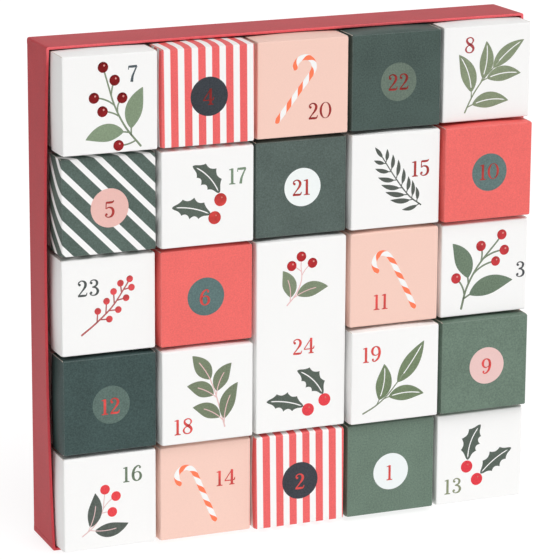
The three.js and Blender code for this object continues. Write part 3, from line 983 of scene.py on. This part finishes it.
def bare_carton(name, colour, roughness):
    """Uncoated side of the carton: matt, with short pale and dark fibres pressed flat."""
    material, tree, shader, place = new_material(name, Roughness=roughness)
    stretched = add_node(tree, "ShaderNodeMapping", {"Vector": place, "Scale": (1.0, 0.3, 0.45)})
    fibres = mottle(tree, stretched, tuple(colour), 0.6 * MM, 0.06)
    tree.links.new(fibres, shader.inputs["Base Color"])
    relief(tree, shader, stretched, 0.4 * MM, 0.03 * MM, 0.6)
    return material


def cut_edge():
    """Guillotined carton edge: the board's pale layers, rough and unprinted."""
    material, tree, shader, place = new_material("carton_cut_edge", Roughness=0.85)
    colour = tuple(bpy.context.scene.paper_colours.raw_edge)
    tree.links.new(mottle(tree, place, colour, 0.25 * MM, 0.12), shader.inputs["Base Color"])
    relief(tree, shader, place, 0.2 * MM, 0.04 * MM, 0.7)
    return material


def bare_faces():
    """The cut edge and the uncoated inside that the lids and the bases share, made once."""
    edge, inside = "carton_cut_edge", "carton_uncoated_inside"
    colour, made = bpy.context.scene.paper_colours.inside, bpy.data.materials
    return [made.get(edge) or cut_edge(), made.get(inside) or bare_carton(inside, colour, 0.8)]


def wrapping_paper(name, roughness):
    """Red printed wrapping paper glued over greyboard: satin ink over a fine felt grain, with the
    board's slow waves under it. Its rim, above all the upper one, is painted paler: a painted highlight
    where the light catches the rounded edge."""
    material, tree, shader, place = new_material(name, Roughness=roughness, Specular_IOR_Level=0.1)
    parts = add_node(tree, "ShaderNodeSeparateXYZ", {0: place})
    # Painted highlight: the rim's front is mixed towards a paler red, most along the upper rim.
    rim = add_node(tree, "ShaderNodeMapRange", {
        "Value": parts.outputs["Y"], "From Min": -22.4 * MM, "From Max": -21.8 * MM,
        "To Min": 1.0, "To Max": 0.0})
    high = add_node(tree, "ShaderNodeMapRange", {
        "Value": parts.outputs["Z"], "From Min": 350 * MM, "From Max": 361 * MM,
        "To Min": 0.3, "To Max": 1.0})
    rim_highlight = add_node(tree, "ShaderNodeMath", {0: rim, 1: high}, operation="MULTIPLY")
    wrap = tuple(bpy.context.scene.paper_colours.wrap)
    colour = mix_colours(tree, rim_highlight, wrap, linear("#f36d74"))
    tree.links.new(mottle(tree, place, colour, GRAIN, 0.15), shader.inputs["Base Color"])
    waves = add_node(tree, "ShaderNodeTexNoise", {
        "Vector": place, "Scale": 1 / (30 * MM), "Detail": 1.0})
    slow = add_node(tree, "ShaderNodeBump", {"Strength": 0.6, "Distance": 0.5 * MM, "Height": waves})
    grain = add_node(tree, "ShaderNodeTexNoise", {
        "Vector": place, "Scale": 1 / (0.6 * MM), "Detail": 3.0})
    bump = add_node(tree, "ShaderNodeBump", {
        "Strength": 0.5, "Distance": 0.03 * MM, "Height": grain, "Normal": slow})
    tree.links.new(bump.outputs["Normal"], shader.inputs["Normal"])
    return material


def offset_ink(code):
    """Matt offset ink: its screen and the carton's tooth show as a fine mottle."""
    material, tree, shader, place = new_material(
        f"ink_{code[1:]}", Roughness=0.5, Specular_IOR_Level=0.2)
    colour = linear(code)
    tree.links.new(mottle(tree, place, colour, GRAIN, grain_of(colour)), shader.inputs["Base Color"])
    relief(tree, shader, place, *CARTON_TOOTH)
    return material


def hot_foil(name, colour, roughness):
    """Hot-stamped pigment foil: metallic and smooth, but it takes up the carton's slow unevenness, and
    its colour shades in slow clouds from dark to bright along a stroke, painted shading that stands in
    for its reflections. The upper rows' foil is painted darker, a painted reflection of a darker room
    above."""
    material, tree, shader, place = new_material(name, Metallic=1.0, Roughness=roughness)
    # Painted shading: slow clouds in the foil's colour stand in for the reflections off its unevenness.
    cloud = add_node(tree, "ShaderNodeTexNoise", {
        "Vector": place, "Scale": 1 / (7 * MM), "Detail": 2.0})
    painted_cloud_shade = add_node(tree, "ShaderNodeMapRange", {
        "Value": cloud, "From Min": 0.35, "From Max": 0.65, "To Min": 0.8, "To Max": 1.15})
    # Painted reflection: the higher the foil's row, the darker its colour, as if it mirrored a darker
    # room above.
    height = add_node(tree, "ShaderNodeSeparateXYZ", {0: place}).outputs["Z"]
    row = add_node(tree, "ShaderNodeMapRange", {
        "Value": height, "From Min": 165 * MM, "From Max": 330 * MM, "To Min": 1.0, "To Max": 0.4})
    level = add_node(tree, "ShaderNodeMath", {0: painted_cloud_shade, 1: row}, operation="MULTIPLY")
    shaded = add_node(tree, "ShaderNodeMix", {
        0: 1.0, 6: colour, 7: level}, data_type="RGBA", blend_type="MULTIPLY")
    tree.links.new(shaded.outputs[2], shader.inputs["Base Color"])
    relief(tree, shader, place, 3.5 * MM, 0.25 * MM, 0.5)
    return material


def cane_ink():
    """Offset ink of the candy canes: stripes wind round the stick, so that seen from the side they run
    as an arcsine of the distance from its middle line."""
    material, tree, shader, place = new_material(
        "ink_cane_stripes", Roughness=0.5, Specular_IOR_Level=0.2)
    colours = bpy.context.scene.paper_colours
    radius = bpy.context.scene.print_sizes.cane / 2
    blank = add_node(tree, "ShaderNodeUVMap", uv_map="blank").outputs["UV"]
    parts = add_node(tree, "ShaderNodeSeparateXYZ", {0: blank})
    share = add_node(tree, "ShaderNodeMath", {0: parts.outputs["Y"], 1: radius}, operation="DIVIDE")
    angle = add_node(tree, "ShaderNodeMath", {0: share}, operation="ARCSINE")
    climb = 2.3 * MM
    wound = add_node(tree, "ShaderNodeMath", {
        0: angle, 1: climb, 2: parts.outputs["X"]}, operation="MULTIPLY_ADD")
    shifted = add_node(tree, "ShaderNodeMath", {0: wound, 1: CANE_FIRST * MM}, operation="SUBTRACT")
    share = stripe_share(tree, shifted, CANE_TURN * MM, CANE_RED * MM)
    colour = mix_colours(tree, share, tuple(colours.paper_white), tuple(colours.cane_red))
    tree.links.new(mottle(tree, place, colour, 0.9 * MM, 0.02), shader.inputs["Base Color"])
    relief(tree, shader, place, *CARTON_TOOTH)
    return material


def ink(code):
    """The ink of a colour, made once."""
    return bpy.data.materials.get(f"ink_{code[1:]}") or offset_ink(code)


# Operators.


class ADVENT_OT_tray(bpy.types.Operator):
    """Wraps the tray's walls, and lays in its back board and lining sheet"""

    bl_idname = "advent_calendar.add_tray"
    bl_label = "Add wrapped tray"

    def execute(self, context):
        outside = wrapping_paper("wrapping_paper_red", 0.46)
        walls = [f"tray_wall_{side}" for side in ("top", "left", "bottom", "right")]
        make_piece("tray_wrapped_walls", wrap_sheets(), [outside], "tray", walls)
        low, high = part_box("tray_back_board")
        back = board_sheets(low.y, high.y - 0.16 * MM, 0.02 * MM, 0.3 * MM)
        make_piece("tray_back", back, [outside], "tray", ["tray_back_board"])
        low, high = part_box("tray_lining_sheet")
        lining = board_sheets(low.y, high.y, 1 * MM, 0.08 * MM)
        inside = wrapping_paper("lining_paper_red", 0.55)
        make_piece("tray_lining", lining, [inside], "tray", ["tray_lining_sheet"])
        return {"FINISHED"}


class ADVENT_OT_lids(bpy.types.Operator):
    """Folds the twenty-four printed lids, with their bellied sides"""

    bl_idname = "advent_calendar.add_lids"
    bl_label = "Add lids"

    def execute(self, context):
        sizes = context.scene.carton_sizes
        crest = sizes.belly_crest * sizes.lid_depth

        def belly(at):
            """A parabola up to the crest, and a flatter one from there to the open edge."""
            at = np.asarray(at, float)
            before = 1 - ((crest - at) / (crest - sizes.fold)) ** 2
            after = 1 - (1 - sizes.belly_left) * ((at - crest) / (sizes.lid_depth - crest)) ** 2
            return sizes.belly * np.clip(np.where(at < crest, before, after), 0, 1)

        bare = bare_faces()
        papers = {paper: printed_carton(paper) for paper in LID_INKS}
        for day in DAYS:
            name = f"lid_{day:02d}"
            paper = LID_PAPERS.get(day, "white")
            low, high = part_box(name)
            low.y += SET_BACK * MM
            sheets = carton_sheets(low, high, sizes.lid_depth - SET_BACK * MM, -1, sizes, belly)
            make_piece(
                f"folded_{name}", sheets, [papers[paper], *bare], name, [name])
        return {"FINISHED"}


class ADVENT_OT_bases(bpy.types.Operator):
    """Folds the twenty-four open bases that the lids slip over"""

    bl_idname = "advent_calendar.add_bases"
    bl_label = "Add bases"

    def execute(self, context):
        sizes = context.scene.carton_sizes
        outside = bare_carton("carton_base_outside", context.scene.paper_colours.base, 0.62)
        finishes = [outside, *bare_faces()]
        for day in DAYS:
            name = f"base_{day:02d}"
            low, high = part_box(name)
            sheets = carton_sheets(low, high, high.y - low.y, 1, sizes)
            make_piece(f"folded_{name}", sheets, finishes, name, [name])
        return {"FINISHED"}


class ADVENT_OT_discs(bpy.types.Operator):
    """Prints the discs behind the numbers in the middle of a front"""

    bl_idname = "advent_calendar.add_discs"
    bl_label = "Add discs"

    def execute(self, context):
        radius = context.scene.print_sizes.disc / 2 / MM
        for day, (x, z, code) in DISCS.items():
            print_piece("disc", day, [disc(x, z, radius, LAYER["disc"], steps=96)], [ink(code)])
        return {"FINISHED"}


class ADVENT_OT_numbers(bpy.types.Operator):
    """Stamps the numbers 1 to 24 on the lids' fronts"""

    bl_idname = "advent_calendar.add_numbers"
    bl_label = "Add numbers"

    def execute(self, context):
        foil = hot_foil("foil_red_numbers", tuple(context.scene.paper_colours.foil), 0.28)
        height = context.scene.print_sizes.number_height / MM
        for day in DAYS:
            x, z = NUMBER_PLACES[day]
            finish = ink(NUMBER_INKS[day]) if day in NUMBER_INKS else foil
            print_piece("number", day, digit_sheets(str(day), x, z, height), [finish])
        return {"FINISHED"}


class ADVENT_OT_sprigs(bpy.types.Operator):
    """Prints the leaf and berry sprigs"""

    bl_idname = "advent_calendar.add_sprigs"
    bl_label = "Add sprigs"

    def execute(self, context):
        berries = {
            "foil": hot_foil("foil_dark_red_berries", linear("#c2393d"), 0.24),
            "bright": hot_foil("foil_red_berries", linear("#c94347"), 0.3),
            "flat": ink("#e7454b"),
            "twig": hot_foil("foil_twig_berries", linear("#e2575a"), 0.34),
        }
        for day, sprig in SPRIGS.items():
            berry = berries[sprig.get("berry", "flat")]
            finishes = [ink(sprig["leaf_ink"]), ink(sprig["stem_ink"]), berry, ink("#d9948c")]
            print_piece("sprig", day, sprig_sheets(sprig), finishes)
        return {"FINISHED"}


class ADVENT_OT_holly(bpy.types.Operator):
    """Prints the holly leaves, each with its berry"""

    bl_idname = "advent_calendar.add_holly"
    bl_label = "Add holly"

    def execute(self, context):
        radius = context.scene.print_sizes.holly_berry / 2 / MM
        finishes = {
            17: hot_foil("foil_holly_berries", linear("#ee5552"), 0.3), 13: ink("#e13b46"),
            24: ink("#e5424b")}
        for day, parts in HOLLY.items():
            sheets = []
            for foot, tip, width, bend in parts["leaves"]:
                sheets += leaf_sheets(foot, tip, width, bend, LAYER["leaf"], 0.8, HOLLY_SPINES)
            dome = DOME if day == 17 else 0.0
            for x, z in parts["berries"]:
                sheets.append(disc(x, z, radius, LAYER["vein"], 1, dome))
                spot = (x + 0.2 * radius, z + 0.35 * radius, 0.13 * radius)
                sheets.append(disc(*spot, LAYER["vein"] + dome + LAYER["spot"], 2, steps=16))
            print_piece("holly", day, sheets, [ink("#576259"), finishes[day], ink("#cf7a6c")])
        return {"FINISHED"}


class ADVENT_OT_canes(bpy.types.Operator):
    """Prints the candy canes"""

    bl_idname = "advent_calendar.add_canes"
    bl_label = "Add candy canes"

    def execute(self, context):
        finish = cane_ink()
        width = context.scene.print_sizes.cane / MM
        for day, line in CANES.items():
            path = smooth(line, 90)
            path = np.hstack([path, np.full((len(path), 1), width)])
            points, uv, number = ribbon(path, LAYER["leaf"], round_ends=True)
            # Every stick takes five turns, so its stripes are spread to make both its ends red.
            uv[..., 0] *= (5 * CANE_TURN + 2 * CANE_FIRST) * MM / uv[..., 0].max()
            print_piece("cane", day, [(points, uv, number)], [finish])
        return {"FINISHED"}


class ADVENT_OT_stage(bpy.types.Operator):
    """Adds the pale floor, the soft light and the camera"""

    bl_idname = "advent_calendar.add_stage"
    bl_label = "Add floor, light and camera"

    def execute(self, context):
        scene = context.scene
        scene.view_settings.view_transform = "Standard"
        angle = np.linspace(0, 2 * math.pi, 97)
        radius = FLOOR_RADIUS * np.array([0, 0.25, 0.5, 0.75, 1, 1, 0])[:, None]
        level = -0.01 * np.array([0, 0, 0, 0, 0, 1, 1])[:, None]
        grid = np.stack([
            radius * np.cos(angle), radius * np.sin(angle), level + 0 * radius * angle], axis=-1)
        # A pale paper floor that glows as a light table does, painted light that keeps it white and
        # lights the calendar from below, and glows less behind at the left.
        card, tree, shader, place = new_material("studio_floor", Roughness=0.7)
        away = add_node(tree, "ShaderNodeVectorMath", {0: place, 1: FLOOR_DIM}, operation="DISTANCE")
        glow = add_node(tree, "ShaderNodeMapRange", {
            "Value": away.outputs["Value"], "From Min": 0.75, "From Max": 1.4,
            "To Min": 0.4, "To Max": 0.84}, interpolation_type="SMOOTHSTEP")
        shader.inputs["Emission Color"].default_value = (1, 1, 1, 1)
        tree.links.new(glow.outputs[0], shader.inputs["Emission Strength"])
        paper = mottle(tree, place, (0.2, 0.2, 0.2, 1), 40 * MM, 0.004)
        tree.links.new(paper, shader.inputs["Base Color"])
        mesh = make_mesh("studio_floor", [(grid, no_uv(grid), 0)], [card])
        floor = bpy.data.objects.new("studio_floor", mesh)
        scene.collection.objects.link(floor)

        # The studio's surround: pale walls that fall off towards the ceiling, brightest behind.
        world = bpy.data.worlds.new("studio_surround")
        world.use_nodes = True
        tree = world.node_tree
        tree.nodes["Background"].inputs["Color"].default_value = (1.0, 0.98, 0.975, 1)
        heading = add_node(tree, "ShaderNodeTexCoord").outputs["Generated"]
        height = add_node(tree, "ShaderNodeSeparateXYZ", {0: heading}).outputs["Z"]
        below = add_node(tree, "ShaderNodeMath", {0: 1.0, 1: height}, operation="SUBTRACT")
        fall = add_node(tree, "ShaderNodeMath", {0: below, 1: 2.0}, operation="POWER")
        level = add_node(tree, "ShaderNodeMath", {0: fall, 1: 0.67, 2: 0.26}, operation="MULTIPLY_ADD")
        bright_side = (0.3, 0.4, 0.0)
        side = add_node(tree, "ShaderNodeVectorMath", {
            0: heading, 1: bright_side}, operation="DOT_PRODUCT")
        turned = add_node(tree, "ShaderNodeMath", {0: side.outputs["Value"], 1: 1.0}, operation="ADD")
        strength = add_node(tree, "ShaderNodeMath", {0: level, 1: turned}, operation="MULTIPLY")
        tree.links.new(strength.outputs[0], tree.nodes["Background"].inputs["Strength"])
        scene.world = world

        # A wide, even softbox from above and in front.
        data = bpy.data.lights.new("softbox", "SUN")
        data.energy = LIGHT_STRENGTH
        data.angle = LIGHT_WIDTH
        light = bpy.data.objects.new("softbox", data)
        light.location = (0.1, -1.1, 2.0)
        light.rotation_euler = Vector(LIGHT_WAY).to_track_quat("-Z", "Y").to_euler()
        scene.collection.objects.link(light)

        data = bpy.data.cameras.new("camera")
        data.sensor_width = CAMERA_SENSOR
        data.lens = CAMERA_LENS
        data.clip_end = 50
        forward = Vector(CAMERA_FORWARD).normalized()
        right = Vector(CAMERA_RIGHT).normalized()
        camera = bpy.data.objects.new("camera", data)
        turn = Matrix((right, right.cross(forward), -forward)).transposed()
        camera.matrix_world = Matrix.Translation(CAMERA_PLACE) @ turn.to_4x4()
        scene.collection.objects.link(camera)
        scene.camera = camera
        return {"FINISHED"}


class ADVENT_PT_panel(bpy.types.Panel):
    """Lists the calendar's operators and sizes in the 3D view's sidebar"""

    bl_idname = "ADVENT_PT_panel"
    bl_label = "Advent Calendar"
    bl_space_type = "VIEW_3D"
    bl_region_type = "UI"
    bl_category = "Advent Calendar"

    def draw(self, context):
        for operator in OPERATORS:
            self.layout.operator(operator.bl_idname)
        for group in GROUPS:
            box = self.layout.box()
            settings = getattr(context.scene, group)
            for name in settings.bl_rna.properties.keys():
                if name not in ("rna_type", "name"):
                    box.prop(settings, name)


GROUPS = {
    "carton_sizes": CartonSizes, "tray_sizes": TraySizes, "print_sizes": PrintSizes,
    "paper_colours": PaperColours,
}
OPERATORS = (
    ADVENT_OT_tray, ADVENT_OT_lids, ADVENT_OT_bases, ADVENT_OT_discs, ADVENT_OT_numbers,
    ADVENT_OT_sprigs, ADVENT_OT_holly, ADVENT_OT_canes, ADVENT_OT_stage,
)


def register():
    for group in (*GROUPS.values(), *OPERATORS, ADVENT_PT_panel):
        bpy.utils.register_class(group)
    for name, group in GROUPS.items():
        setattr(bpy.types.Scene, name, PointerProperty(type=group))


def unregister():
    for name in GROUPS:
        delattr(bpy.types.Scene, name)
    for group in reversed((*GROUPS.values(), *OPERATORS, ADVENT_PT_panel)):
        bpy.utils.unregister_class(group)


def main():
    register()
    for operator in OPERATORS:
        family, action = operator.bl_idname.split(".")
        getattr(getattr(bpy.ops, family), action)()
    bpy.context.view_layer.update()


if __name__ == "__main__":
    main()
